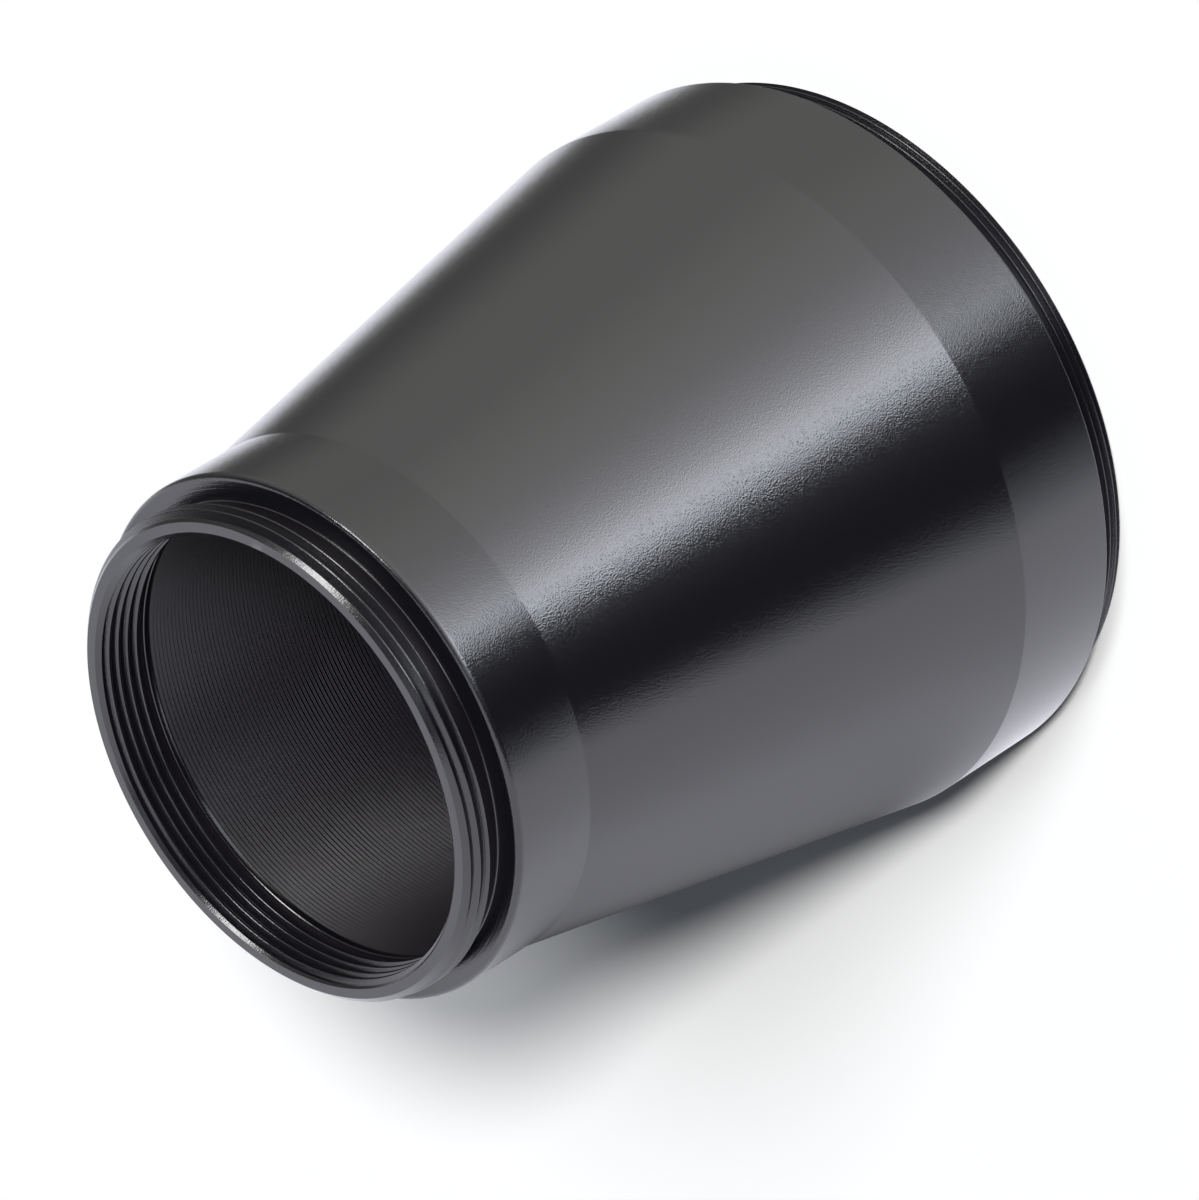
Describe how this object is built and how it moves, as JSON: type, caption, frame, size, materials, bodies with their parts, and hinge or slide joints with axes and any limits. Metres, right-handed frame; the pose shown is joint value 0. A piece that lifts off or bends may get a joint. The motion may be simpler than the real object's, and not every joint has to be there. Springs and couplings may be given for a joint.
{
  "type": "thread adapter",
  "caption": "Tapered black tube that joins camera and lens threads of different size, male threaded at each end and female threaded inside the small end.",
  "frame": {"origin": "centre of the large end's face, which the part stands on", "axes": "+Z along the tube's axis, from the large end up to the small end"},
  "size_m": [0.0606, 0.0606, 0.0674],
  "materials": {
    "black_anodised": "bead-blasted, black anodised, satin"
  },
  "bodies": {
    "root": {"adapter_body": "black_anodised"}
  },
  "joints": []
}
